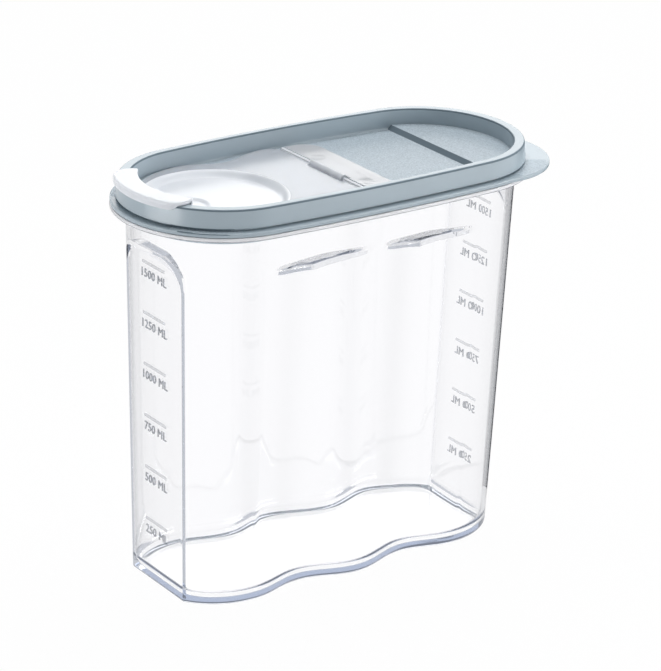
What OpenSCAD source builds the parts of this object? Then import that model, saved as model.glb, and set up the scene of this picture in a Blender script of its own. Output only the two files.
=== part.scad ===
// Cereal container with a lift-off lid and a flip-open pouring cover.
// Frame: origin at the centre of the base, +Z up, -X towards the pouring end,
// +X towards the pull-tab end, Y across the narrow way.

/* [Container] */
// Distance from the middle to the centre of each round end
end_centre = 54.5; // [48:0.5:64]
// Radius of the round ends at the base
end_radius = 33.95; // [31:0.05:40]
// How much further the middle of a long side stands out than the end radius
side_bulge = 1.55; // [0.8:0.05:3]
// Height of the container up to the top of its rim
body_height = 171.2; // [150:0.1:200]
// Outward lean of the walls, in degrees
draft_angle = 1.6; // [0.8:0.1:2.4]
// Wall thickness of the container
wall = 1.8; // [1.4:0.1:2.4]
// Floor thickness of the container
floor_thickness = 2; // [1.6:0.1:3]
// Rounding of the outer bottom edge
base_round = 2; // [1.5:0.5:4]
// Rounding between the inner wall and the floor
floor_round = 6; // [3:0.5:8]

/* [Container rim] */
// Reach of the rim flange beyond the wall below it
rim_reach = 6.6; // [6:0.1:10]
// Thickness of the rim flange
rim_thickness = 1.8; // [1.4:0.1:2.6]

/* [Finger grips] */
// Depth of the two upright hollows in each long side
grip_depth = 6.2; // [4:0.1:8]
// Drop from the rim to the ledge that closes each hollow
grip_drop = 21.4; // [19:0.1:40]

/* [End panels] */
// How far each flat end panel is cut into the round end
panel_cut = 6.5; // [4:0.1:9]
// Drop from the rim to the panel's upper edge
panel_drop = 14.9; // [12:0.1:24]
// Radius of the panel's two upper corners
panel_corner = 16.5; // [8:0.5:18]
// How much wider than the flat at the base the panel's cut is, to each side
panel_spread = 1.6; // [1:0.1:3]

/* [Graduations] */
// Most measuring bars on each end panel; those that would pass its top are left out
tick_count = 6; // [3:1:6]
// Smallest distance from the highest bar to the panel's upper edge
tick_margin = 4; // [3:0.5:12]
// Height of the lowest bar
tick_first = 29.6; // [20:0.1:35]
// Step from the lowest bar to the next one
tick_step = 24.5; // [18:0.1:26]
// How much each following step shrinks, because the walls lean outwards
tick_shrink = 0.37; // [0:0.01:0.6]
// Length of a bar
tick_length = 16.8; // [12:0.1:20]
// Height of a bar's face
tick_height = 1.3; // [0.8:0.1:2]
// How far a bar stands out of the panel
tick_relief = 0.4; // [0.2:0.1:0.8]

/* [Lid] */
// Gap between the lid's flange and the container's rim
lid_gap = 0.2; // [0.1:0.1:0.6]
// How far the lid's flange edge stays inside the rim's edge
flange_inset = 0.1; // [0:0.1:1.5]
// Thickness of the lid's flange
flange_thickness = 1.9; // [1.4:0.1:4]
// Distance from the flange's edge to the neck below the band
flange_ledge = 4.4; // [3.6:0.1:5.6]
// Height of the groove between flange and band
groove_height = 1; // [0.5:0.1:1.2]
// Overhang of the band's lower edge beyond the neck
band_overhang = 2; // [0.4:0.1:2.4]
// How much the band leans in from its lower to its upper edge
band_lean = 0.8; // [0:0.1:1.2]
// Height of the band above the groove
band_height = 8.1; // [6:0.1:9]
// Rounding of the band's upper edge
band_round = 0.8; // [0.4:0.1:1.2]
// Width of the raised rim at the round ends
rim_width_end = 5; // [4:0.1:6]
// Width of the raised rim at the middle of the long sides
rim_width_side = 3.35; // [3:0.05:4.5]
// Depth of the recess inside the raised rim
recess_depth = 9; // [7:0.1:10]
// Thickness of the recessed deck
deck_thickness = 2.2; // [1.8:0.1:2.8]
// Height of the plug below the flange
plug_depth = 5.5; // [4:0.1:12]
// Thickness of the plug's wall
plug_wall = 1.2; // [1:0.1:1.8]
// Gap between the plug and the container's wall
plug_gap = 0.3; // [0.2:0.1:0.6]

/* [Raised platform] */
// Distance from the middle to the foot of the step
step_x = 60.5; // [50:0.5:66]
// Height of the platform above the deck
step_height = 1.9; // [1.5:0.1:3]
// Length of the step's slope
step_run = 1.6; // [0.8:0.1:3]

/* [Pull tab] */
// Direction of the tab from the round end's centre, in degrees below +X
tab_angle = 31; // [0:1:60]
// Distance from the round end's centre to the tab's centre
tab_offset = 20; // [16:0.1:27]
// Radius of the tab
tab_radius = 33.5; // [26:0.1:36]

/* [Pouring opening] */
// Distance from the middle to the opening's centre
pour_x = 56; // [54:0.5:58]
// How far the dished plug stays inside the lip's upright web
dish_margin = 0.43; // [0.2:0.01:2]
// Gap between the dished plug and the opening
dish_gap = 0.3; // [0.2:0.05:0.5]
// Depth of the dish below the cover's face
dish_depth = 2.5; // [2.5:0.1:4.5]

/* [Hinge] */
// Distance from the middle to the hinge axis
hinge_x = 1.6; // [0:0.1:4]
// Radius of the cover's hinge rod
rod_radius = 1.1; // [0.9:0.05:1.3]
// Distance from the recess wall to the rod's round ends
rod_inset = 4.8; // [3:0.1:8]
// Radial gap between the rod and its clip
rod_gap = 0.08; // [0.04:0.01:0.1]
// Wall of the clip around the rod
clip_wall = 1; // [0.9:0.05:1.2]
// Half length of the clip
clip_half = 11.7; // [8:0.1:14]
// Gap between the clip and the notch in the cover
notch_gap = 0.4; // [0.3:0.1:0.8]
// Depth of the channel in the deck under the rod
channel_depth = 0.5; // [0.3:0.1:0.9]

/* [Cover] */
// Thickness of the cover and of the fixed plate
sheet = 1.3; // [1:0.1:1.6]
// Gap between the cover and the deck
cover_gap = 0.2; // [0.1:0.05:0.4]
// Gap between the cover's round end and the recess wall
bell_gap = 4; // [3:0.1:6]
// Distance from the opening's centre to the centre of the cover's round end
bell_shift = 6.1; // [4:0.1:8]
// Gap between the cover's waist and the recess wall
waist_gap = 7.9; // [6:0.1:11]
// Distance from the opening's centre to the waist
waist_shift = 25; // [22:0.5:28]
// Gap between the cover's shoulders beside the hinge and the recess wall
shoulder_gap = 2; // [1.4:0.1:4]
// Distance from the hinge axis to the widest place of the shoulders
shoulder_run = 9.1; // [8.5:0.1:12]
// Rounding of the cover's corners beside the hinge
shoulder_round = 9.6; // [9.2:0.1:12]
// Radius of the finger dimple in the dish
dimple_radius = 11.3; // [8:0.1:12]
// Distance from the opening's centre to the dimple's centre
dimple_shift = 15.2; // [12:0.1:16]
// Depth of the finger dimple
dimple_depth = 0.8; // [0.4:0.1:1]

/* [Thumb lip] */
// Half of the angle that the lip spans
lip_half_angle = 36; // [28:1:42]
// Half of the angle that the overhanging nose spans
nose_half_angle = 27; // [18:1:30]
// Gap between the lip and the lid's rim
lip_gap = 0.3; // [0.2:0.1:0.6]
// Gap between the lip's upright web and the recess wall
lip_back_gap = 2.1; // [1.5:0.1:3]
// Reach of the cove between the web and the cover's face
lip_cove = 2.4; // [1:0.1:4]
// Thickness of the lip
lip_thickness = 1.4; // [1.1:0.1:1.8]
// How far the nose hangs down outside the rim
nose_drop = 1.9; // [1:0.1:3]

/* [Fixed plate] */
// Gap between the rod and the plate
plate_gap = 1.3; // [1.2:0.1:2]
// Length of the plate, away from the hinge
plate_length = 14; // [13:0.5:20]
// Gap between the plate's ends and the recess wall
plate_end_gap = 3.7; // [2:0.1:7]
// Radius of the plate's far corners
plate_corner = 9.5; // [6:0.5:12]
// Distance from the plate's near edge to the two snap pegs
peg_inset = 4.4; // [4.2:0.1:8]
// Half of the distance between the two snap pegs
peg_y = 18; // [16:0.5:22]
// Radius of a snap peg
peg_radius = 3.4; // [2.6:0.1:3.6]
// Gap between a peg and its hole in the deck
peg_gap = 0.1; // [0.05:0.05:0.2]
// Radius of the dimple above a peg
cup_radius = 4; // [3.6:0.1:4.1]

/* [Hidden] */

end_steps = 36;     // segments of each round end
side_steps = 12;    // segments of each long side
wave_steps = 24;    // segments of each grip hollow
overlap = 1;        // how far a cutting shape reaches past what it cuts
$fn = 96;

lean = tan(draft_angle);                        // outward growth of a wall per unit of height
side_half = end_radius + side_bulge;            // half width at the base's middle
side_radius = (pow(end_centre, 2) + pow(side_half, 2) - pow(end_radius, 2)) / (2 * side_bulge);
side_centre = side_radius - side_half;          // distance of a side arc's centre from the middle
tangent_angle = atan(end_centre / side_centre); // where side arc and end arc meet

panel_x = end_centre + end_radius - panel_cut;   // distance from the middle to a panel at the base
panel_top = body_height - panel_drop;
panel_half = sqrt(pow(end_radius, 2) - pow(end_radius - panel_cut, 2)) + panel_spread;

wall_grow = lean * body_height;                 // growth of the outline from base to rim
rim_grow = wall_grow + rim_reach;
flange_grow = rim_grow - flange_inset;
neck_grow = flange_grow - flange_ledge;
band_low_grow = neck_grow + band_overhang;
band_top_grow = band_low_grow - band_lean;

flange_z = body_height + lid_gap;
flange_top = flange_z + flange_thickness;
band_z = flange_top + groove_height;
rim_top = band_z + band_height;
deck_top = rim_top - recess_depth;
deck_bottom = deck_top - deck_thickness;
plug_z = flange_z - plug_depth;
plug_grow = lean * plug_z - wall - plug_gap;

recess_reach = end_centre + end_radius + band_top_grow - rim_width_end;
recess_half = side_half + band_top_grow - rim_width_side;
recess_radius = recess_half - 2.1;              // end radius of the recess outline

cover_z = deck_top + cover_gap;
cover_top = cover_z + sheet;
plate_top = cover_top;
hinge_z = cover_top - rod_radius / 3;
dish_wall = sheet;
dish_floor = cover_top - dish_depth;
bore_radius = rod_radius + rod_gap;
clip_radius = bore_radius + clip_wall;
channel_half = clip_radius;
plate_near = hinge_x + rod_radius + plate_gap;
plate_far = plate_near + plate_length;
plate_half = recess_half - plate_end_gap;
peg_x = plate_near + peg_inset;
rod_half = recess_half - rod_inset;

bell_x = pour_x - bell_shift;
bell_radius = recess_reach - bell_gap - bell_x;
waist_x = pour_x - waist_shift;
waist_half = recess_half - waist_gap;
shoulder_x = shoulder_run - hinge_x;
shoulder_half = recess_half - shoulder_gap;
dimple_x = pour_x + dimple_shift;
dimple_slope = 3 * dimple_depth;

lip_centre = end_centre;
lip_under = rim_top + lip_gap;
lip_top = lip_under + lip_thickness;
lip_web = recess_reach - end_centre - lip_back_gap - lip_thickness;  // inner radius of the upright web
dish_radius = lip_centre + lip_web - dish_margin - pour_x;
nose_in = end_radius + band_top_grow + lip_gap + 0.3;
nose_out = nose_in + lip_thickness;
lip_rest = end_radius + band_top_grow - 1;                  // outer radius of the lip beside its nose

// ---- outlines ----

// points of the oval outline, grown by g from the outline at the base
function oval(g) = concat(
    [for (i = [0:end_steps])
        let (a = -90 + tangent_angle + (180 - 2 * tangent_angle) * i / end_steps)
        [end_centre + (end_radius + g) * cos(a), (end_radius + g) * sin(a)]],
    [for (i = [1:side_steps - 1])
        let (a = tangent_angle - 2 * tangent_angle * i / side_steps)
        [(side_radius + g) * sin(a), (side_radius + g) * cos(a) - side_centre]],
    [for (i = [0:end_steps])
        let (a = 90 + tangent_angle + (180 - 2 * tangent_angle) * i / end_steps)
        [(end_radius + g) * cos(a) - end_centre, (end_radius + g) * sin(a)]],
    [for (i = [1:side_steps - 1])
        let (a = tangent_angle - 2 * tangent_angle * i / side_steps)
        [-(side_radius + g) * sin(a), side_centre - (side_radius + g) * cos(a)]]);

// y of the long side at x, grown by g
function side_y(x, g) = sqrt(pow(side_radius + g, 2) - x * x) - side_centre;

// depth profile of a grip hollow across one end_centre, 0 at its edges and 1 in its middle
function hollow(x) = (1 - cos(360 * x / end_centre)) / 2;

// levels of a rounded bottom edge of radius r at height z: [height, growth]
function round_levels(z, r, g) =
    [for (a = [0:22.5:90]) [z + r * (1 - cos(a)), g - r * (1 - sin(a))]];

// solid through rings of equal length at the given heights; its ends are strips across the outline
module rings(outlines, heights) {
    n = len(outlines[0]);
    m = len(outlines);
    top = (m - 1) * n;
    points = [for (k = [0:m - 1]) for (p = outlines[k]) [p[0], p[1], heights[k]]];
    sides = [for (k = [0:m - 2]) for (i = [0:n - 1])
        let (a = k * n + i, b = k * n + (i + 1) % n)
        [a, a + n, b + n, b]];
    floors = [for (i = [0:n / 2 - 2]) [i, i + 1, n - 2 - i, n - 1 - i]];
    roofs = [for (f = floors) [for (i = [3:-1:0]) top + f[i]]];
    polyhedron(points, concat(sides, floors, roofs), convexity = 6);
}

// solid through oval outlines: levels are [height, growth]
module oval_solid(levels) {
    rings([for (l = levels) oval(l[1])], [for (l = levels) l[0]]);
}

// flat oval with true arcs: reach along X, half width, end radius
module oval_face(reach, half, r) {
    c = reach - r;
    big = (c * c + half * half - r * r) / (2 * (half - r));
    join = c * big / (big - r);
    for (s = [-1, 1]) translate([s * c, 0]) circle(r);
    intersection() {
        translate([0, half - big]) circle(big, $fn = 512);
        translate([0, big - half]) circle(big, $fn = 512);
        square([2 * join, 4 * half], center = true);
    }
}

// ---- container ----

// everything outside a grip hollow's surface, for the surface t inside the outer one
module grip_cut(t) {
    edge = 0.25;
    heights = [-overlap, body_height - grip_drop + t];
    rings([for (z = heights)
        let (g = lean * z - t)
        concat(
            [for (i = [0:wave_steps])
                let (x = end_centre * i / wave_steps)
                [x, side_y(x, g) + edge - (grip_depth + edge) * hollow(x)]],
            [for (i = [wave_steps:-1:0]) [end_centre * i / wave_steps, side_half + g + grip_depth]])],
        heights);
}

module grip_cuts(t) {
    for (sx = [0, 1]) for (sy = [0, 1]) mirror([sx, 0, 0]) mirror([0, sy, 0]) grip_cut(t);
}

// everything outside an end panel, for the surface t inside the outer one
module panel_cuts(t) {
    for (turn = [0, 180])
        rotate([0, 0, turn])
        translate([panel_x - t / cos(draft_angle), 0, 0])
        rotate([0, draft_angle, 0])
        rotate([90, 0, 90])
        linear_extrude(end_centre)
        union() {
            high = panel_top / cos(draft_angle) + t;
            r = panel_corner + t;
            half = panel_half + t;
            translate([-half, -floor_thickness - overlap])
                square([2 * half, high - r + floor_thickness + overlap]);
            for (s = [-1, 1]) translate([s * (half - r), high - r]) circle(r);
            translate([r - half, 0]) square([2 * (half - r), high]);
        }
}

module container_body() color([0.93, 0.95, 0.98, 0.45]) {
    wall_top = body_height - rim_thickness;
    difference() {
        oval_solid(concat(
            round_levels(0, base_round, lean * base_round),
            [[wall_top, lean * wall_top], [wall_top, rim_grow - 0.3],
             [wall_top + 0.3, rim_grow], [body_height - 0.3, rim_grow], [body_height, rim_grow - 0.3]]));
        grip_cuts(0);
        panel_cuts(0);
        difference() {
            oval_solid(concat(
                round_levels(floor_thickness, floor_round, lean * (floor_thickness + floor_round) - wall),
                [[body_height + overlap, lean * (body_height + overlap) - wall]]));
            grip_cuts(wall);
            panel_cuts(wall);
        }
    }
    ticks();
}

function tick_z(k) = tick_first + tick_step * k - tick_shrink * k * (k - 1) / 2;

module ticks() {
    sunk = wall / 2;
    for (turn = [0, 180]) for (k = [0:tick_count - 1]) if (tick_z(k) < panel_top - tick_margin)
        rotate([0, 0, turn])
        translate([panel_x + lean * tick_z(k), 0, tick_z(k)])
        rotate([0, draft_angle, 0])
        translate([-sunk, -tick_length / 2, -tick_height / 2])
        cube([sunk + tick_relief, tick_length, tick_height]);
}

// ---- lid ----

module lid() color([0.66, 0.73, 0.76]) {
    difference() {
        union() {
            oval_solid([
                [plug_z, plug_grow - 0.5], [plug_z + 0.5, plug_grow], [flange_z, plug_grow],
                [flange_z, flange_grow - 0.4], [flange_z + 0.4, flange_grow],
                [flange_top - 0.4, flange_grow], [flange_top, flange_grow - 0.4],
                [flange_top, neck_grow], [band_z, neck_grow],
                [band_z, band_low_grow - 0.3], [band_z + 0.3, band_low_grow],
                [rim_top - band_round, band_top_grow],
                [rim_top - band_round / 4, band_top_grow - band_round / 4],
                [rim_top, band_top_grow - band_round]]);
            pull_tab();
        }
        difference() {
            translate([0, 0, deck_top]) linear_extrude(recess_depth + overlap)
                oval_face(recess_reach, recess_half, recess_radius);
            platform();
        }
        translate([0, 0, plug_z - overlap]) linear_extrude(deck_bottom - plug_z + overlap)
            oval_face(end_centre + end_radius + plug_grow - plug_wall,
                side_half + plug_grow - plug_wall, end_radius + plug_grow - plug_wall);
        translate([-pour_x, 0, deck_bottom - overlap])
            cylinder(r = dish_radius + dish_gap, h = deck_thickness + 2 * overlap);
        for (s = [-1, 1]) translate([peg_x, s * peg_y, deck_bottom - overlap])
            cylinder(r = peg_radius + peg_gap, h = deck_thickness + 2 * overlap);
        translate([hinge_x - channel_half, -rod_half - overlap, deck_top - channel_depth])
            cube([2 * channel_half, 2 * (rod_half + overlap), channel_depth + overlap]);
    }
}

// raised floor at the tab end, with a sloping step
module platform() {
    rotate([90, 0, 0]) translate([0, 0, -end_centre]) linear_extrude(2 * end_centre)
        polygon([[step_x, deck_top - overlap], [step_x, deck_top],
            [step_x + step_run, deck_top + step_height],
            [end_centre + 2 * end_radius, deck_top + step_height],
            [end_centre + 2 * end_radius, deck_top - overlap]]);
}

module pull_tab() {
    rotate_about_end = [end_centre + tab_offset * cos(tab_angle), -tab_offset * sin(tab_angle), 0];
    translate(rotate_about_end) translate([0, 0, flange_z])
        cylinder(r = tab_radius, h = flange_thickness);
}

// ---- fixed hinge plate ----

module hinge_plate() color([0.9, 0.93, 0.95]) {
    difference() {
        union() {
            translate([0, 0, deck_top]) linear_extrude(plate_top - deck_top) plate_face();
            translate([hinge_x, clip_half, hinge_z]) rotate([90, 0, 0])
                cylinder(r = clip_radius, h = 2 * clip_half);
            translate([hinge_x, -clip_half, deck_top])
                cube([plate_near - hinge_x + overlap, 2 * clip_half, plate_top - deck_top]);
            for (s = [-1, 1]) translate([peg_x, s * peg_y, 0]) peg();
        }
        translate([hinge_x, clip_half + overlap, hinge_z]) rotate([90, 0, 0])
            cylinder(r = bore_radius, h = 2 * (clip_half + overlap));
        slit_half = rod_radius * 0.75;
        translate([hinge_x - slit_half, -clip_half - overlap, hinge_z - 2 * clip_radius])
            cube([2 * slit_half, 2 * (clip_half + overlap), 2 * clip_radius]);
        translate([hinge_x - 2 * clip_radius, -clip_half - overlap, hinge_z - 2 * clip_radius])
            cube([4 * clip_radius, 2 * (clip_half + overlap),
                2 * clip_radius - (hinge_z - deck_top) - channel_depth / 2]);
        for (s = [-1, 1]) translate([peg_x, s * peg_y, 0]) peg_hollow();
    }
}

module plate_face() {
    c = plate_corner;
    translate([plate_near, c - plate_half])
        square([plate_far - plate_near, 2 * (plate_half - c)]);
    translate([plate_near, -plate_half]) square([plate_far - plate_near - c, 2 * plate_half]);
    for (s = [-1, 1]) intersection() {
        translate([plate_far - c, s * (plate_half - c)]) circle(c);
        translate([plate_near, -plate_half]) square([plate_far - plate_near, 2 * plate_half]);
    }
}

module peg() {
    bead = 0.3;
    translate([0, 0, deck_bottom - 3 * bead]) cylinder(r = peg_radius, h = deck_thickness + 4 * bead);
    translate([0, 0, deck_bottom - 4 * bead])
        cylinder(r1 = peg_radius - bead, r2 = peg_radius + bead, h = 2 * bead);
    translate([0, 0, deck_bottom - 2 * bead])
        cylinder(r1 = peg_radius + bead, r2 = peg_radius, h = 2 * bead);
}

module peg_hollow() {
    cup = sheet / 3;
    translate([0, 0, plate_top - cup]) cylinder(r = cup_radius, h = cup + overlap);
    translate([0, 0, deck_bottom - 2 * overlap])
        cylinder(r = peg_radius - 1.1, h = deck_thickness + 2 * overlap);
}

// ---- flip cover ----

// half width of the cover at x
function cover_half(x) =
    x < -bell_x ? sqrt(max(0, pow(bell_radius, 2) - pow(x + bell_x, 2)))
    : x < -waist_x ? waist_half + (bell_radius - waist_half)
        * (1 + cos(180 * (x + bell_x) / (bell_x - waist_x))) / 2
    : x < -shoulder_x ? waist_half + (shoulder_half - waist_half)
        * (1 - cos(180 * (x + waist_x) / (waist_x - shoulder_x))) / 2
    : shoulder_half - shoulder_round + sqrt(max(0, pow(shoulder_round, 2) - pow(x + shoulder_x, 2)));

module cover_face() {
    steps = 24;
    bell = [for (i = [0:steps])
        let (a = 180 - 90 * i / steps)
        [bell_radius * cos(a) - bell_x, bell_radius * sin(a)]];
    run = bell_x + hinge_x - rod_radius / 2;
    flank = [for (i = [1:2 * steps]) let (x = -bell_x + run * i / (2 * steps)) [x, cover_half(x)]];
    upper = concat(bell, flank);
    polygon(concat(upper, [for (i = [len(upper) - 1:-1:1]) [upper[i][0], -upper[i][1]]]));
}

module flip_cover() color([0.95, 0.97, 0.98]) {
    difference() {
        union() {
            translate([0, 0, cover_z]) linear_extrude(sheet) cover_face();
            translate([-pour_x, 0, dish_floor - sheet]) cylinder(r = dish_radius, h = dish_depth + sheet / 2);
            translate([-dimple_x, 0, dish_floor - sheet - dimple_depth])
                cylinder(r1 = dimple_radius - dimple_slope, r2 = dimple_radius + sheet,
                    h = dimple_depth + sheet / 2);
        }
        translate([-pour_x, 0, 0]) rotate_extrude()
            polygon([[0, dish_floor], [dish_radius - 2 * dish_wall, dish_floor],
                [dish_radius - dish_wall, dish_floor + dish_wall],
                [dish_radius - dish_wall / 2, cover_top - dish_wall / 2],
                [dish_radius + dish_wall / 4, cover_top], [dish_radius + dish_wall / 4, cover_top + overlap],
                [0, cover_top + overlap]]);
        translate([-dimple_x, 0, dish_floor - dimple_depth])
            cylinder(r1 = dimple_radius - dimple_slope, r2 = dimple_radius, h = dimple_depth + 0.01);
        notch = clip_half + notch_gap;
        translate([hinge_x - clip_radius - notch_gap, -notch, cover_z - overlap])
            cube([clip_radius + notch_gap, 2 * notch, sheet + 2 * overlap]);
    }
    hinge_rod();
    thumb_lip();
}

module hinge_rod() {
    straight = rod_half - rod_radius;
    translate([hinge_x, straight, hinge_z]) rotate([90, 0, 0]) cylinder(r = rod_radius, h = 2 * straight);
    for (s = [-1, 1]) translate([hinge_x, s * straight, hinge_z]) sphere(rod_radius);
}

module thumb_lip() {
    sector(lip_half_angle)
        polygon([[lip_web - lip_cove, cover_z], [lip_web + lip_thickness, cover_z],
            [lip_web + lip_thickness, lip_under - lip_thickness], [lip_web + 2 * lip_thickness, lip_under],
            [lip_rest, lip_under], [lip_rest, lip_top - 0.4], [lip_rest - 0.4, lip_top],
            [lip_web + 1, lip_top], [lip_web, lip_top - 1], [lip_web, cover_top + lip_cove],
            [lip_web - 0.3 * lip_cove, cover_top + 0.3 * lip_cove], [lip_web - lip_cove, cover_top]]);
    sector(nose_half_angle)
        polygon([[lip_rest - 1, lip_under], [nose_in, lip_under], [nose_in, lip_under - nose_drop],
            [nose_out, lip_under - nose_drop], [nose_out, lip_top - lip_thickness], [nose_in, lip_top],
            [lip_rest - 1, lip_top]]);
}

// ring sector around the pouring end's centre, half_angle to each side of -X
module sector(half_angle) {
    translate([-lip_centre, 0, 0]) rotate([0, 0, 180 - half_angle])
        rotate_extrude(angle = 2 * half_angle) children();
}

container_body();
lid();
hinge_plate();
flip_cover();
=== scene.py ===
import math

import bmesh
import bpy
from mathutils import Matrix, Vector


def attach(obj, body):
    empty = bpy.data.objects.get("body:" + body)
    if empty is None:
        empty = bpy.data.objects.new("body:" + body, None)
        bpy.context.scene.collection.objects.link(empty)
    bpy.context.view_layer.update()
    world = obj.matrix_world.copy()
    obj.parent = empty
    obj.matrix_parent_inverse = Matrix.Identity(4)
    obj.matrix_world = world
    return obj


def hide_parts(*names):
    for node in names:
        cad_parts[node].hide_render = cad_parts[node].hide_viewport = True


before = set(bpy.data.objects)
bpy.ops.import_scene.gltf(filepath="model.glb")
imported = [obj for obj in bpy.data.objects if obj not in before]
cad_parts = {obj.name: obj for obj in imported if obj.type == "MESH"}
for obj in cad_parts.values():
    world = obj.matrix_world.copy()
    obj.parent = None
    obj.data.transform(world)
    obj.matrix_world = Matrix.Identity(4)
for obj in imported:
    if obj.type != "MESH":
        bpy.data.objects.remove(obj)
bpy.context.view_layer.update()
print("frame loaded")

mm = 0.001  # the code below works in millimetres, the scene in metres


def smooth(a, b, x):
    t = min(1.0, max(0.0, (x - a) / (b - a)))
    return t * t * (3 - 2 * t)


def mix(a, b, t):
    return a + (b - a) * t


def arc(cx, cy, r, start, end, steps):
    angles = [math.radians(mix(start, end, i / steps)) for i in range(steps + 1)]
    return [(cx + r * math.cos(a), cy + r * math.sin(a)) for a in angles]


def newObject(name, points, faces):
    mesh = bpy.data.meshes.new(name)
    mesh.from_pydata([(x * mm, y * mm, z * mm) for x, y, z in points], [], faces)
    obj = bpy.data.objects.new(name, mesh)
    bpy.context.scene.collection.objects.link(obj)
    cleanMesh(obj)
    return obj


def cleanMesh(obj, gap=1e-6):
    work = bmesh.new()
    work.from_mesh(obj.data)
    bmesh.ops.remove_doubles(work, verts=work.verts, dist=gap)
    bmesh.ops.dissolve_degenerate(work, edges=work.edges, dist=gap / 10)
    bmesh.ops.recalc_face_normals(work, faces=work.faces)
    work.to_mesh(obj.data)
    work.free()


def loft(rings):
    # joins rings of equal length, with a fan of triangles at each end
    n = len(rings[0])
    points = [p for ring in rings for p in ring]
    faces = []
    for k in range(len(rings) - 1):
        for i in range(n):
            j = (i + 1) % n
            faces.append((k * n + i, k * n + j, (k + 1) * n + j, (k + 1) * n + i))
    for start in (0, (len(rings) - 1) * n):
        ring = points[start:start + n]
        middle = tuple(sum(p[c] for p in ring) / n for c in range(3))
        points.append(middle)
        faces += [(start + i, start + (i + 1) % n, len(points) - 1) for i in range(n)]
    return points, faces


def loopLoft(rings):
    # joins rings of equal length into a closed band, the last ring to the first
    n = len(rings[0])
    m = len(rings)
    points = [p for ring in rings for p in ring]
    faces = [(k * n + i, k * n + (i + 1) % n, (k + 1) % m * n + (i + 1) % n, (k + 1) % m * n + i)
             for k in range(m) for i in range(n)]
    return points, faces


def applyModifiers(obj):
    bpy.context.view_layer.update()
    made = bpy.data.meshes.new_from_object(obj.evaluated_get(bpy.context.evaluated_depsgraph_get()))
    obj.modifiers.clear()
    obj.data = made


def combine(obj, others, operation):
    for other in others:
        cut = obj.modifiers.new("combine", "BOOLEAN")
        cut.operation = operation
        cut.solver = "EXACT"
        cut.object = other
        applyModifiers(obj)
        bpy.data.objects.remove(other)
    return obj


def shadeSmooth(obj, sharpAngle):
    # smooth faces with sharp edges kept, and flats that stay flat beside their fillets
    work = bmesh.new()
    work.from_mesh(obj.data)
    for face in work.faces:
        face.smooth = True
    for edge in work.edges:
        edge.smooth = len(edge.link_faces) == 2 and edge.calc_face_angle(0) < math.radians(sharpAngle)
    work.to_mesh(obj.data)
    work.free()
    weight = obj.modifiers.new("flat faces lead", "WEIGHTED_NORMAL")
    weight.keep_sharp = True
    weight.weight = 60
    applyModifiers(obj)


def finishPiece(obj, body, material, nodes=()):
    obj.data.materials.clear()
    obj.data.materials.append(material)
    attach(obj, body)
    if nodes:
        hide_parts(*nodes)


def srgb(text):
    values = [int(text[i:i + 2], 16) / 255 for i in (1, 3, 5)]
    return tuple(v / 12.92 if v <= 0.04045 else ((v + 0.055) / 1.055) ** 2.4 for v in values) + (1.0,)


def addNode(tree, kind, settings=None, **inputs):
    node = tree.nodes.new(kind)
    for key, value in (settings or {}).items():
        setattr(node, key, value)
    for key, value in inputs.items():
        byNumber = key[0] == "i" and key[1:].isdigit()
        socket = node.inputs[int(key[1:]) if byNumber else key.replace("_", " ")]
        if isinstance(value, bpy.types.NodeSocket):
            tree.links.new(value, socket)
        else:
            socket.default_value = value
    return node


def newMaterial(name):
    material = bpy.data.materials.new(name)
    material.use_nodes = True
    material.node_tree.nodes.clear()
    return material, material.node_tree


clearLook = {
    # edge: a painted shade for walls seen edge-on
    "face": "#FEFEFF", "edge": "#283244", "edgePower": 3.2, "ior": 1.5, "roughness": 0.012, "clear": 1.0,
    # rimClear, rimLow, rimHigh: the rim painted paler, a painted light
    "rimClear": 0.25, "rimLow": 168.6, "rimHigh": 169.6,
    # piped: a painted grey shade for light kept inside the wall
    "piped": "#C4C8D0", "pipedBounces": 3, "lamp": "#F2F4F8", "waveMm": 14.0, "wave": 0.02,
    # fold, mark and their shares: painted grey shade in folds and relief
    "fold": "#C4C8D2", "foldShade": 0.3, "softShade": 0.2, "mark": "#858B94", "markShade": 0.5, "barShade": 0.2,
    "shadeRoughness": 0.15,
}


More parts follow.
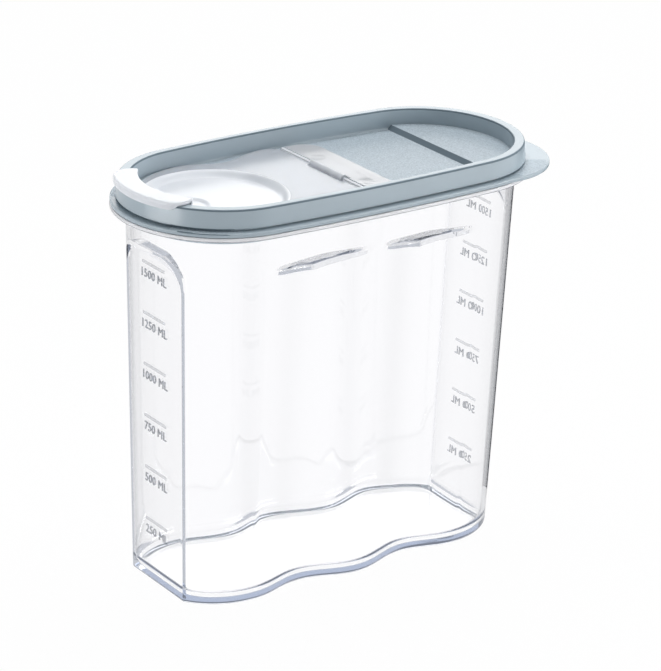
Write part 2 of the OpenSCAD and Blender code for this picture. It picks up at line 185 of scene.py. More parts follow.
def makeClearStyrene():
    # injection-moulded clear SAN: glassy gloss, faint flow waves, and blue-grey where it is seen edge-on, a
    # painted shade for the darker light its curved walls bend in
    material, tree = newMaterial("moulded clear SAN")
    place = addNode(tree, "ShaderNodeTexCoord")
    waves = addNode(tree, "ShaderNodeTexNoise", Vector=place.outputs["Object"],
                    Scale=1 / (clearLook["waveMm"] * mm), Detail=1.0, Roughness=0.4)
    bump = addNode(tree, "ShaderNodeBump", Strength=clearLook["wave"], Distance=0.0004,
                   Height=waves.outputs["Fac"])
    # painted shade: the colour goes to blue-grey as the surface turns edge-on
    facing = addNode(tree, "ShaderNodeLayerWeight", Blend=0.5)
    edge = addNode(tree, "ShaderNodeMath", {"operation": "POWER"}, i0=facing.outputs["Facing"],
                   i1=clearLook["edgePower"])
    tint = addNode(tree, "ShaderNodeMix", {"data_type": "RGBA"}, i0=edge.outputs[0],
                   i6=srgb(clearLook["face"]), i7=srgb(clearLook["edge"]))
    height = addNode(tree, "ShaderNodeSeparateXYZ", Vector=place.outputs["Object"])
    # painted light: less see-through and paler at the rim, for the light its thick edge gathers
    clear = addNode(tree, "ShaderNodeMapRange", Value=height.outputs["Z"],
                    From_Min=clearLook["rimLow"] * mm, From_Max=clearLook["rimHigh"] * mm,
                    To_Min=clearLook["clear"], To_Max=clearLook["rimClear"])
    shader = addNode(tree, "ShaderNodeBsdfPrincipled", Base_Color=tint.outputs[2],
                     Roughness=clearLook["roughness"], IOR=clearLook["ior"],
                     Transmission_Weight=clear.outputs[0], Normal=bump.outputs["Normal"])
    # painted shade: after a few reflections inside the wall a ray leaves through a grey tint
    ray = addNode(tree, "ShaderNodeLightPath")
    piped = addNode(tree, "ShaderNodeMath", {"operation": "GREATER_THAN"}, i0=ray.outputs["Glossy Depth"],
                    i1=clearLook["pipedBounces"] - 0.5)
    escape = addNode(tree, "ShaderNodeBsdfTransparent", Color=srgb(clearLook["piped"]))
    wall = addNode(tree, "ShaderNodeMixShader", i0=piped.outputs[0], i1=shader.outputs[0],
                   i2=escape.outputs[0])
    passed = addNode(tree, "ShaderNodeBsdfTransparent", Color=srgb(clearLook["lamp"]))
    lit = addNode(tree, "ShaderNodeMixShader", i0=ray.outputs["Is Shadow Ray"], i1=wall.outputs[0],
                  i2=passed.outputs[0])
    addNode(tree, "ShaderNodeOutputMaterial", Surface=lit.outputs[0])
    return material


def makeShadedStyrene(name, colour, shadeAlpha):
    # clear SAN in tight folds and small relief: partly see-through with a soft grey painted in, a painted
    # shade for the light the folds and relief bend away
    material, tree = newMaterial(name)
    shader = addNode(tree, "ShaderNodeBsdfPrincipled", Base_Color=srgb(colour),
                     Roughness=clearLook["shadeRoughness"], IOR=clearLook["ior"], Alpha=shadeAlpha)
    addNode(tree, "ShaderNodeOutputMaterial", Surface=shader.outputs[0])
    return material


polypropyleneIor = 1.49

lidLook = {
    "colour": "#A3B1B9", "pale": "#A9B7BF", "roughness": 0.26, "gloss": 0.6,
    # edge colour and finish: a painted shade for the rim's rounds and the step's face
    "edge": "#6C7A83", "edgeRoughness": 0.5, "edgeGloss": 0.1,
    "grainColour": "#98A6AF", "grainPale": "#C3CFD7",
    "grainRoughness": 0.45, "grainMm": 0.7, "grain": 0.5,
}


def makePolishedPolypropylene(name, low, high, roughness, gloss):
    # blue-grey polypropylene from a polished mould: soft gloss, a trace of mottle
    material, tree = newMaterial(name)
    place = addNode(tree, "ShaderNodeTexCoord")
    cloud = addNode(tree, "ShaderNodeTexNoise", Vector=place.outputs["Object"], Scale=60.0, Detail=2.0)
    colour = addNode(tree, "ShaderNodeMix", {"data_type": "RGBA"}, i0=cloud.outputs["Fac"],
                     i6=srgb(low), i7=srgb(high))
    bump = addNode(tree, "ShaderNodeBump", Strength=0.05, Distance=0.0002, Height=cloud.outputs["Fac"])
    shader = addNode(tree, "ShaderNodeBsdfPrincipled", Base_Color=colour.outputs[2],
                     Roughness=roughness, IOR=polypropyleneIor, Specular_IOR_Level=gloss,
                     Normal=bump.outputs["Normal"])
    addNode(tree, "ShaderNodeOutputMaterial", Surface=shader.outputs[0])
    return material


def makeGrainedPolypropylene():
    # the same plastic from a spark-eroded mould face: matt, with a fine sparkle
    # the real grain is finer than this; it is drawn coarser so that it shows
    material, tree = newMaterial("spark-grained blue-grey polypropylene")
    place = addNode(tree, "ShaderNodeTexCoord")
    grain = addNode(tree, "ShaderNodeTexNoise", Vector=place.outputs["Object"],
                    Scale=1 / (lidLook["grainMm"] * mm), Detail=2.0, Roughness=0.7)
    spread = addNode(tree, "ShaderNodeMapRange", Value=grain.outputs["Fac"], From_Min=0.3, From_Max=0.7)
    colour = addNode(tree, "ShaderNodeMix", {"data_type": "RGBA"}, i0=spread.outputs[0],
                     i6=srgb(lidLook["grainColour"]), i7=srgb(lidLook["grainPale"]))
    bump = addNode(tree, "ShaderNodeBump", Strength=lidLook["grain"], Distance=0.0002,
                   Height=grain.outputs["Fac"])
    shader = addNode(tree, "ShaderNodeBsdfPrincipled", Base_Color=colour.outputs[2],
                     Roughness=lidLook["grainRoughness"], IOR=polypropyleneIor,
                     Normal=bump.outputs["Normal"])
    addNode(tree, "ShaderNodeOutputMaterial", Surface=shader.outputs[0])
    return material


naturalLook = {
    "colour": "#EFF3FA", "roughness": 0.22, "clear": 0.6, "plateClear": 0.4, "thickAndLitClear": 0.15,
    "scatter": 0.5, "scatterMm": 3.0,
}


def makeNaturalPolypropylene(name, clear):
    # unpigmented polypropylene sheet: milky, lets what lies under it show through softly
    material, tree = newMaterial(name)
    place = addNode(tree, "ShaderNodeTexCoord")
    cloud = addNode(tree, "ShaderNodeTexNoise", Vector=place.outputs["Object"], Scale=90.0, Detail=2.0)
    bump = addNode(tree, "ShaderNodeBump", Strength=0.05, Distance=0.0002, Height=cloud.outputs["Fac"])
    milk = addNode(tree, "ShaderNodeBsdfPrincipled", Base_Color=srgb(naturalLook["colour"]),
                   Roughness=naturalLook["roughness"], IOR=polypropyleneIor, Transmission_Weight=clear,
                   Subsurface_Weight=naturalLook["scatter"], Subsurface_Radius=(1, 1, 1),
                   Subsurface_Scale=naturalLook["scatterMm"] * mm, Normal=bump.outputs["Normal"])
    addNode(tree, "ShaderNodeOutputMaterial", Surface=milk.outputs[0])
    return material


clearStyrene = makeClearStyrene()
# the painted grey shade of the folds, the soft folds, the figures and the bars
foldedStyrene = makeShadedStyrene("folded clear SAN", clearLook["fold"], clearLook["foldShade"])
softStyrene = makeShadedStyrene("softly folded clear SAN", clearLook["fold"], clearLook["softShade"])
markStyrene = makeShadedStyrene("raised figures in clear SAN", clearLook["mark"], clearLook["markShade"])
barStyrene = makeShadedStyrene("raised bars in clear SAN", clearLook["mark"], clearLook["barShade"])
polishedPolypropylene = makePolishedPolypropylene("polished blue-grey polypropylene", lidLook["colour"],
                                                  lidLook["pale"], lidLook["roughness"], lidLook["gloss"])
# the same plastic painted darker: a painted shade for the rim's rounds and the step's face
shadedEdgePolypropylene = makePolishedPolypropylene("blue-grey polypropylene with painted edge shade", lidLook["edge"],
                                              lidLook["edge"], lidLook["edgeRoughness"], lidLook["edgeGloss"])
grainedPolypropylene = makeGrainedPolypropylene()
naturalPolypropylene = makeNaturalPolypropylene("natural polypropylene", naturalLook["clear"])
# whiter for the thick lip, and a painted light on the dish and the edges
thickAndLitPolypropylene = makeNaturalPolypropylene("natural polypropylene for thick parts and painted light", naturalLook["thickAndLitClear"])
platePolypropylene = makeNaturalPolypropylene("natural polypropylene plate", naturalLook["plateClear"])
print("materials made")


oval = {"endCentre": 54.5, "endRadius": 33.95, "sideBulge": 1.55, "lean": math.tan(math.radians(1.6))}
oval["sideHalf"] = oval["endRadius"] + oval["sideBulge"]
oval["sideRadius"] = ((oval["endCentre"] ** 2 + oval["sideHalf"] ** 2 - oval["endRadius"] ** 2)
                      / (2 * oval["sideBulge"]))


def ovalRing(reach, half, endRadius, z, endSteps=72, sideSteps=40):
    # flat oval of true arcs, anticlockwise from the +X end
    centre = reach - endRadius
    big = (centre ** 2 + half ** 2 - endRadius ** 2) / (2 * (half - endRadius))
    lowest = big - half
    tangent = math.atan2(centre, lowest)
    quarter = [(centre + endRadius * math.cos(a), endRadius * math.sin(a))
               for a in [(math.pi / 2 - tangent) * i / endSteps for i in range(endSteps + 1)]]
    quarter += [(big * math.sin(a), big * math.cos(a) - lowest)
                for a in [tangent * (1 - i / sideSteps) for i in range(1, sideSteps + 1)]]
    return [(x, y, z) for x, y in fullRing(quarter)]


def fullRing(quarter):
    # mirrors a quarter outline from +X to +Y into a whole one
    return (quarter + [(-x, y) for x, y in quarter[-2::-1]]
            + [(-x, -y) for x, y in quarter[1:]] + [(x, -y) for x, y in quarter[-2:0:-1]])


def grownOval(grow, z):
    return ovalRing(oval["endCentre"] + oval["endRadius"] + grow, oval["sideHalf"] + grow,
                    oval["endRadius"] + grow, z)


container = {
    "height": 171.2, "wall": 1.8, "floor": 2.0, "baseRound": 2.0, "floorRound": 6.0,
    "floorCorner": 11.0, "rimReach": 6.6, "rimThickness": 1.8, "rimRound": 0.5, "rimFillet": 1.2,
    "gripDepth": 6.2, "gripLedge": 150.9, "ledgeArch": 1.8, "ledgeRise": 1.6, "ledgeDip": 5.0,
    "ledgeSoftness": 0.3, "creaseBelow": 4.5, "creaseSpan": 7.5,
    "panelX": 81.95, "panelHalf": 21.6, "panelTop": 156.3, "panelCorner": 16.5, "panelBlend": 0.35,
    "stepWidth": 1.2, "mouthRound": 0.8,
}
wallSteps = {"panel": 12, "edge": 4, "end": 32, "side": 64, "crease": 30}
# which faces belong to a fold and get its painted grey shade: how near they lie to it in mm, and how far they
# tilt
folds = {
    "endX": 60, "panelX": 70, "stepLow": 12, "stepNear": 0.3, "topNear": 1, "topTilt": 0.4,
    "roofNear": 5, "roofTilt": 0.3, "rimNear": 0.6,
}


def panelHalf(z, inset, shift):
    # half width of the end panel at height z; above its corners it narrows along their arcs
    c = container
    corner = c["panelCorner"] + shift
    rise = min(corner, max(0.0, z - (c["panelTop"] + shift - corner)))
    half = c["panelHalf"] + shift + math.sqrt(corner ** 2 - rise ** 2) - corner
    radius = oval["endRadius"] + oval["lean"] * z - shift - inset
    away = c["panelX"] - oval["endCentre"] + oval["lean"] * z - shift - inset
    return min(half, math.sqrt(radius ** 2 - away ** 2))


def hollowShare(x, z):
    # how much of the hollow is there: its roof slopes, and its lower crease is a shallow V
    c = container
    middle = 1 - min(1.0, abs(x - oval["endCentre"] / 2) / (oval["endCentre"] / 2))
    arch = c["gripLedge"] + c["ledgeArch"] * (1 - min(1.0, abs(x) / oval["endCentre"]))
    high = arch + c["ledgeSoftness"] + c["ledgeRise"] * middle
    low = arch - c["ledgeSoftness"] - c["ledgeDip"] * middle
    return min(1.0, max(0.0, (high - z) / (high - low)))


def sideQuarter(first, grow, z):
    # the round end from angle first on, then the long side with its hollow
    radius = oval["endRadius"] + grow
    sideLow = oval["sideRadius"] - oval["sideHalf"]
    tangent = math.atan2(oval["endCentre"], sideLow)
    quarter = []
    for i in range(1, wallSteps["end"] + 1):
        a = mix(first, math.pi / 2 - tangent, i / wallSteps["end"])
        quarter.append((oval["endCentre"] + radius * math.cos(a), radius * math.sin(a)))
    for i in range(1, wallSteps["side"] + 1):
        a = tangent * (1 - i / wallSteps["side"])
        x = (oval["sideRadius"] + grow) * math.sin(a)
        y = (oval["sideRadius"] + grow) * math.cos(a) - sideLow
        wave = 0
        if x < oval["endCentre"]:
            wave = (1 - math.cos(2 * math.pi * x / oval["endCentre"])) / 2
        quarter.append((x, y - container["gripDepth"] * hollowShare(x, z) * wave))
    return quarter


def wallQuarter(z, inset, shift):
    # a quarter of the wall's outline at height z; shift is 0 outside and the wall inside
    c = container
    grow = oval["lean"] * z - shift - inset
    radius = oval["endRadius"] + grow
    panelX = c["panelX"] + grow
    top = c["panelTop"] + shift
    half = panelHalf(z, inset, shift)
    flat = 1 - smooth(top - c["panelBlend"], top + c["panelBlend"], z)
    quarter = []

    def endX(y):
        return oval["endCentre"] + math.sqrt(radius ** 2 - y ** 2)

    for i in range(wallSteps["panel"] + 1):
        y = half * i / wallSteps["panel"]
        quarter.append((min(endX(y), mix(endX(y), panelX, flat)), y))
    for i in range(1, wallSteps["edge"] + 1):
        y = half + c["stepWidth"] * i / wallSteps["edge"]
        out = max(smooth(0, 1, i / wallSteps["edge"]), 1 - flat)
        quarter.append((min(endX(y), mix(panelX, endX(y), out)), y))
    first = math.asin((half + c["stepWidth"]) / radius)
    return quarter + sideQuarter(first, grow, z - shift)


def floorQuarter(z, inset, shift):
    # the same outline with the panel's corners rounded off, as it runs round the inner floor
    r = container["floorCorner"]
    grow = oval["lean"] * z - shift - inset
    radius, panelX = oval["endRadius"] + grow, container["panelX"] + grow
    away = panelX - r - oval["endCentre"]
    middle = math.sqrt((radius - r) ** 2 - away ** 2)
    turn = math.atan2(middle, away)
    quarter = [(panelX, middle * i / wallSteps["panel"]) for i in range(wallSteps["panel"] + 1)]
    for i in range(1, wallSteps["edge"] + 1):
        a = turn * i / wallSteps["edge"]
        quarter.append((panelX - r + r * math.cos(a), middle + r * math.sin(a)))
    return quarter + sideQuarter(turn, grow, z - shift)


def wallRing(z, inset=0.0, shift=0.0, rounded=0.0):
    quarter = wallQuarter(z, inset, shift)
    if rounded:
        soft = floorQuarter(z, inset, shift)
        quarter = [(mix(x, u, rounded), mix(y, v, rounded)) for (x, y), (u, v) in zip(quarter, soft)]
    return [(x, y, z) for x, y in fullRing(quarter)]


def wallLevels(low, high, shift):
    # heights of the rings between low and high, close together where the wall folds
    c = container
    ledge, top, corner = c["gripLedge"] + shift, c["panelTop"] + shift, c["panelCorner"] + shift
    levels = {low, high, 40.0, 80.0, 120.0, top - corner}
    levels |= {ledge - c["creaseBelow"] + c["creaseSpan"] * i / wallSteps["crease"]
               for i in range(wallSteps["crease"] + 1)}
    levels |= {top - corner + corner * math.sin(math.radians(a)) for a in range(6, 90, 6)}
    levels |= {top + t for t in (-c["panelBlend"], -0.2, -0.07, 0.07, 0.2, c["panelBlend"])}
    return sorted(z for z in levels if low <= z <= high)


def makeContainer():
    c = container
    rings = []
    for a in range(0, 91, 9):  # outer bottom edge
        t = math.radians(a)
        rings.append(wallRing(c["baseRound"] * (1 - math.cos(t)), c["baseRound"] * (1 - math.sin(t))))
    under = c["height"] - c["rimThickness"]
    rings += [wallRing(z) for z in wallLevels(c["baseRound"] + 0.5, under - c["rimFillet"], 0.0)]
    wallOut = oval["lean"] * under
    edge, soft, fillet = oval["lean"] * c["height"] + c["rimReach"], c["rimRound"], c["rimFillet"]
    for x, z in arc(wallOut + fillet, under - fillet, fillet, 180, 90, 5)[1:]:
        rings.append(wallRing(z, oval["lean"] * z - x, 0.0))
    rim = arc(edge - soft, under + soft, soft, -90, 0, 4)
    rim += arc(edge - soft, c["height"] - soft, soft, 0, 90, 4)
    for x, z in rim:
        rings.append(wallRing(z, oval["lean"] * z - x, 0.0))
    inner, mouth = oval["lean"] * c["height"] - c["wall"], c["mouthRound"]
    for x, z in arc(inner + mouth, c["height"] - mouth, mouth, 90, 180, 4):
        rings.append(wallRing(z, oval["lean"] * z - c["wall"] - x, c["wall"]))
    low = c["floor"] + c["floorRound"]
    rings += [wallRing(z, 0.0, c["wall"]) for z in reversed(wallLevels(low, c["height"] - 1.2, c["wall"]))]
    for a in range(84, -1, -6):  # inner bottom edge
        t = math.radians(a)
        rings.append(wallRing(c["floor"] + c["floorRound"] * (1 - math.cos(t)),
                              c["floorRound"] * (1 - math.sin(t)), c["wall"], math.cos(t)))
    points, faces = loft(rings)
    return newObject("container", points, faces)


def paintFoldShade(piece):
    # the roofs of the grips, the panels' tops and side steps and the rim's lower edge are tight folds; they
    # get the painted grey shade
    c, f = container, folds
    piece.data.materials.append(foldedStyrene)
    piece.data.materials.append(softStyrene)
    under = c["height"] - c["rimThickness"]
    for face in piece.data.polygons:
        x, y, z = face.center / mm
        tilt = abs(face.normal.z)
        outside = face.normal.x * x > 0 if abs(x) > f["endX"] else face.normal.y * y > 0
        shift = 0.0 if outside else c["wall"]
        past = abs(y) - panelHalf(z, 0.0, shift)
        onPanel = abs(x) > f["panelX"]
        step = (onPanel and f["stepLow"] < z < c["panelTop"] + shift
                and -f["stepNear"] < past < c["stepWidth"] + f["stepNear"])
        panelTop = onPanel and abs(z - c["panelTop"] - shift) < f["topNear"] and tilt > f["topTilt"]
        roof = (abs(x) < oval["endCentre"] and abs(z - c["gripLedge"] - shift) < f["roofNear"]
                and tilt > f["roofTilt"])
        if (roof and outside) or (outside and under < z < under + f["rimNear"]):
            face.material_index = 1
        elif (step and outside) or panelTop:
            face.material_index = 2


containerPiece = makeContainer()
shadeSmooth(containerPiece, 40)
finishPiece(containerPiece, "container", clearStyrene, ["container_body"])
paintFoldShade(containerPiece)
print("container made", len(containerPiece.data.polygons))


graduations = {
    "count": 6, "first": 29.6, "step": 24.5, "shrink": 0.37, "length": 16.8, "barHeight": 1.3,
    "relief": 0.4, "barRound": 0.2, "barZone": 1.2, "panelX": container["panelX"],
    "textSize": 5.4, "textDrop": 5.0, "textRelief": 0.25, "textLift": 0.08, "firstVolume": 250,
}


def tickHeight(k):
    g = graduations
    return g["first"] + g["step"] * k - g["shrink"] * k * (k - 1) / 2


def barTree():
    # a column of bars up a leaning panel, closer together as the container widens
    tree = bpy.data.node_groups.new("graduation bars", "GeometryNodeTree")
    sockets = {"Count": "Int", "First": "Float", "Step": "Float", "Shrink": "Float", "Panel": "Float",
               "Lean": "Float", "Bar Size": "Vector", "Finish": "Material"}
    for name, kind in sockets.items():
        tree.interface.new_socket(name, in_out="INPUT", socket_type="NodeSocket" + kind)
    tree.interface.new_socket("Bars", in_out="OUTPUT", socket_type="NodeSocketGeometry")
    given = addNode(tree, "NodeGroupInput").outputs
    index = addNode(tree, "GeometryNodeInputIndex").outputs[0]

    def calc(operation, a, b):
        return addNode(tree, "ShaderNodeMath", {"operation": operation}, i0=a, i1=b).outputs[0]

    line = addNode(tree, "GeometryNodeMeshLine", Count=given["Count"])
    rise = calc("MULTIPLY", given["Step"], index)
    sag = calc("MULTIPLY", calc("MULTIPLY", given["Shrink"], 0.5),
               calc("MULTIPLY", index, calc("SUBTRACT", index, 1.0)))
    height = calc("SUBTRACT", calc("ADD", given["First"], rise), sag)
    out = calc("ADD", given["Panel"], calc("MULTIPLY", given["Lean"], height))
    spot = addNode(tree, "ShaderNodeCombineXYZ", X=out, Z=height)
    placed = addNode(tree, "GeometryNodeSetPosition", Geometry=line.outputs[0], Position=spot.outputs[0])
    bar = addNode(tree, "GeometryNodeMeshCube", Size=given["Bar Size"])
    tilt = addNode(tree, "ShaderNodeCombineXYZ", Y=calc("ARCTANGENT", given["Lean"], 0.0))
    many = addNode(tree, "GeometryNodeInstanceOnPoints", Points=placed.outputs[0], Instance=bar.outputs[0],
                   Rotation=tilt.outputs[0])
    real = addNode(tree, "GeometryNodeRealizeInstances", Geometry=many.outputs[0])
    finish = addNode(tree, "GeometryNodeSetMaterial", Geometry=real.outputs[0], Material=given["Finish"])
    addNode(tree, "NodeGroupOutput", Bars=finish.outputs[0])
    return tree


def runTree(name, tree, values):
    obj = bpy.data.objects.new(name, bpy.data.meshes.new(name))
    bpy.context.scene.collection.objects.link(obj)
    modifier = obj.modifiers.new(name, "NODES")
    modifier.node_group = tree
    for item in tree.interface.items_tree:
        if item.item_type == "SOCKET" and item.in_out == "INPUT" and item.name in values:
            modifier[item.identifier] = values[item.name]
    applyModifiers(obj)
    return obj


def makeNumber(text, k):
    # raised figures under a bar, on the +X panel
    g = graduations
    curve = bpy.data.curves.new("figures", "FONT")
    curve.body = text
    curve.align_x, curve.align_y = "CENTER", "CENTER"
    curve.size = g["textSize"] * mm
    curve.extrude = g["textRelief"] * mm
    curve.resolution_u = 3
    curve.space_character = 1.05
    obj = bpy.data.objects.new("figures", curve)
    bpy.context.scene.collection.objects.link(obj)
    bpy.context.view_layer.update()
    mesh = bpy.data.meshes.new_from_object(obj)
    bpy.data.objects.remove(obj)
    z = tickHeight(k) - g["textDrop"]
    x = g["panelX"] + oval["lean"] * z + g["textLift"]
    upright = Matrix(((0, 0, 1, x * mm), (1, 0, 0, 0), (0, 1, 0, z * mm), (0, 0, 0, 1)))
    mesh.transform(upright)
    return mesh


def makeGraduations(name, turned):
    # bars and figures of one end as a single piece; turned puts them on the -X panel
    g = graduations
    bars = runTree(name, barTree(), {
        "Count": g["count"], "First": g["first"] * mm, "Step": g["step"] * mm, "Shrink": g["shrink"] * mm,
        "Panel": g["panelX"] * mm, "Lean": oval["lean"],
        "Bar Size": (2 * g["relief"] * mm, g["length"] * mm, g["barHeight"] * mm), "Finish": barStyrene,
    })
    work = bmesh.new()
    work.from_mesh(bars.data)
    bmesh.ops.bevel(work, geom=work.edges[:], offset=g["barRound"] * mm, segments=2, affect="EDGES")
    for k in range(g["count"]):
        work.from_mesh(makeNumber(f"{g['firstVolume'] * (k + 1)} ML", k))
    if turned:
        bmesh.ops.rotate(work, verts=work.verts, cent=(0, 0, 0), matrix=Matrix.Rotation(math.pi, 3, "Z"))
    bmesh.ops.remove_doubles(work, verts=work.verts, dist=1e-7)
    bmesh.ops.recalc_face_normals(work, faces=work.faces)
    work.to_mesh(bars.data)
    work.free()
    finishPiece(bars, "container", barStyrene)
    bars.data.materials.append(markStyrene)
    for face in bars.data.polygons:  # the figures and the bars' soft edges get more painted grey shade than the bars' faces
        flat = max(abs(n) for n in face.normal) > 0.98
        onBar = min(abs(face.center.z / mm - tickHeight(k)) for k in range(g["count"])) < g["barZone"]
        face.material_index = 0 if onBar and flat else 1


for name, turned in (("graduations_tab_end", False), ("graduations_pouring_end", True)):
    makeGraduations(name, turned)
print("graduations made")


lid = {
    "flangeZ": 171.4, "flangeTop": 173.3, "flangeGrow": 11.28, "neckGrow": 6.88, "grooveHeight": 1.0,
    "bandLow": 8.88, "bandTop": 8.08, "rimTop": 182.4, "rimRound": 0.9,
    "deckTop": 173.4, "deckThickness": 2.2,
    "recessReach": 91.53, "recessHalf": 40.23, "recessRadius": 38.13, "wallFillet": 1.0,
    "plugZ": 165.9, "plugGrow": 2.534, "plugWall": 1.2,
    "stepX": 60.5, "stepRun": 1.6, "stepHeight": 1.9,
    "tabAngle": 31.0, "tabOffset": 20.0, "tabRadius": 33.5, "tabBlend": 1.2, "edgeRound": 0.6,
    "plugRound": 0.5, "plugSoft": 0.4, "neckRound": 0.25, "bandRound": 0.35, "innerRound": 0.7,
    "deckLap": 0.6, "creaseRound": 0.6,
    "pourX": 56.0, "pourRadius": 31.9, "channelX": 1.6, "channelHalf": 2.18, "channelDepth": 0.5,
    "channelReach": 37.5,
}
# which of the lid's faces are grained or get the painted shade: reach in mm, and how level they lie
deckFaces = {
    "below": 0.6, "above": 0.1, "level": 0.9, "roundLow": 0.12, "roundHigh": 0.93,
    "stepReach": 2.5, "stepTilt": 0.4,
}


def recessRing(grow, z):
    # outline of the recess inside the rim
    return ovalRing(lid["recessReach"] + grow, lid["recessHalf"] + grow, lid["recessRadius"] + grow, z)


def tabbedOval(grow, tabGrow, z):
    # the flange's outline with the tab's disc merged into the round end, its corners softly filled
    p = lid
    turn = math.radians(-p["tabAngle"])
    ring = []
    for x, y, _ in grownOval(grow, z):
        dx, dy = x - oval["endCentre"], y
        if dx > 0:
            away, angle = math.hypot(dx, dy), math.atan2(dy, dx) - turn
            side = (p["tabOffset"] * math.sin(angle)) ** 2
            reach = p["tabOffset"] * math.cos(angle) + math.sqrt((p["tabRadius"] + tabGrow) ** 2 - side)
            blend = max(0.0, p["tabBlend"] - abs(reach - away)) / p["tabBlend"]
            far = max(reach, away) + blend ** 2 * p["tabBlend"] / 4
            x, y = oval["endCentre"] + dx * far / away, dy * far / away
        ring.append((x, y, z))
    return ring


def makeLidRing():
    # the lid's edge in section, taken round the oval: plug, flange with its tab, groove, band, recess wall
    p = lid
    soft = p["plugRound"]
    low = arc(p["plugGrow"] - soft, p["plugZ"] + soft, soft, -90, 0, 3)
    low += arc(p["plugGrow"] + soft, p["flangeZ"] - soft, soft, 180, 90, 3)
    rings = [grownOval(g, z) for g, z in low]
    soft = p["edgeRound"]
    edge = arc(-soft, p["flangeZ"] + soft, soft, -90, 0, 4)
    edge += arc(-soft, p["flangeTop"] - soft, soft, 0, 90, 4)
    rings += [tabbedOval(p["flangeGrow"] + g, g, z) for g, z in edge]
    bandZ = p["flangeTop"] + p["grooveHeight"]
    soft = p["neckRound"]
    high = arc(p["neckGrow"] + soft, p["flangeTop"] + soft, soft, -90, -180, 2)
    high += [(p["neckGrow"], bandZ - 0.05)]
    soft = p["bandRound"]
    high += arc(p["bandLow"] - soft, bandZ + soft, soft, -90, 0, 3)
    soft = p["rimRound"]
    high += arc(p["bandTop"] - soft, p["rimTop"] - soft, soft, 5, 90, 6)
    rings += [grownOval(g, z) for g, z in high]
    soft = p["innerRound"]
    inner = arc(soft, p["rimTop"] - soft, soft, 90, 180, 5)
    soft = p["wallFillet"]
    inner += arc(-soft, p["deckTop"] + soft, soft, 0, -90, 5)
    deckLow = p["deckTop"] - p["deckThickness"]
    inner += [(-soft - p["deckLap"], p["deckTop"]), (-soft - p["deckLap"], deckLow)]
    rings += [recessRing(g, z) for g, z in inner]
    plugIn = p["plugGrow"] - p["plugWall"]
    rings += [grownOval(plugIn, z) for z in (deckLow, p["plugZ"] + p["plugSoft"])]
    rings += [grownOval(plugIn + p["plugSoft"], p["plugZ"])]
    points, faces = loopLoft(rings)
    return newObject("lid", points, faces)


def makeDeck():
    p = lid
    edge = -p["wallFillet"] - p["deckLap"] / 2  # halfway into the lid's ring
    points, faces = loft([recessRing(edge, z) for z in (p["deckTop"] - p["deckThickness"], p["deckTop"])])
    return newObject("deck", points, faces)


def roundPoints(x, y, radius, steps):
    # corners of a circle, anticlockwise
    angles = [2 * math.pi * i / steps for i in range(steps)]
    return [(x + radius * math.cos(a), y + radius * math.sin(a)) for a in angles]


def cylinderAlongZ(name, x, y, radius, low, high, steps=128):
    rings = [[(u, v, z) for u, v in roundPoints(x, y, radius, steps)] for z in (low, high)]
    points, faces = loft(rings)
    return newObject(name, points, faces)


def block(name, low, high):
    x0, y0, z0 = low
    x1, y1, z1 = high
    rings = [[(x0, y0, z), (x1, y0, z), (x1, y1, z), (x0, y1, z)] for z in (z0, z1)]
    points, faces = loft(rings)
    return newObject(name, points, faces)


def makePlatform():
    # the raised floor at the tab end: a segment of the recess's end circle behind a sloping step
    p = lid
    ridge = p["stepX"] + p["stepRun"]
    top = p["deckTop"] + p["stepHeight"]
    centre, radius = p["recessReach"] - p["recessRadius"], p["recessRadius"] + 0.6  # 0.6 into the wall
    soft = p["creaseRound"]
    section = [(p["stepX"] - 0.8, p["deckTop"] - 0.9)]
    section += arc(p["stepX"] - 0.5, p["deckTop"] + 0.57, soft, -90, -35, 3)
    section += arc(ridge + 0.5, top - soft, soft, 145, 90, 4)
    rings = []
    for cutX, z in section:
        half = math.degrees(math.acos((cutX - centre) / radius))
        rings.append([(x, y, z) for x, y in arc(centre, 0, radius, -half, half, 96)])
    points, faces = loft(rings)
    return newObject("platform", points, faces)


def makeLid():
    # the edge, the deck with its opening and the channel under the rod, and the platform, made one
    p = lid
    piece = makeLidRing()
    deck = makeDeck()
    combine(deck, [
        cylinderAlongZ("cut", -p["pourX"], 0, p["pourRadius"], p["plugZ"], p["rimTop"]),
        block("cut", (p["channelX"] - p["channelHalf"], -p["channelReach"], p["deckTop"] - p["channelDepth"]),
              (p["channelX"] + p["channelHalf"], p["channelReach"], p["deckTop"] + 1)),
    ], "DIFFERENCE")
    combine(piece, [deck, makePlatform()], "UNION")
    cleanMesh(piece)
    return piece


def grainDeck(piece):
    # the recess floor and the platform's top are grained; the rim's rounds and the step's face get a painted
    # shade, a darker colour
    p, f = lid, deckFaces
    piece.data.materials.append(grainedPolypropylene)
    piece.data.materials.append(shadedEdgePolypropylene)
    for face in piece.data.polygons:
        x, y, z = face.center / mm
        inside = abs(y) < p["recessHalf"] and abs(x) < p["recessReach"]
        onFloor = p["deckTop"] - f["below"] < z < p["deckTop"] + p["stepHeight"] + f["above"]
        rimEdge = z > p["rimTop"] - p["rimRound"] and f["roundLow"] < face.normal.z < f["roundHigh"]
        stepFace = inside and onFloor and x < p["stepX"] + f["stepReach"] and face.normal.x < -f["stepTilt"]
        if inside and onFloor and face.normal.z > f["level"]:
            face.material_index = 1
        elif rimEdge or stepFace:
            face.material_index = 2


lidPiece = makeLid()
shadeSmooth(lidPiece, 32)
finishPiece(lidPiece, "lid", polishedPolypropylene, ["lid"])
grainDeck(lidPiece)
print("lid made", len(lidPiece.data.polygons))


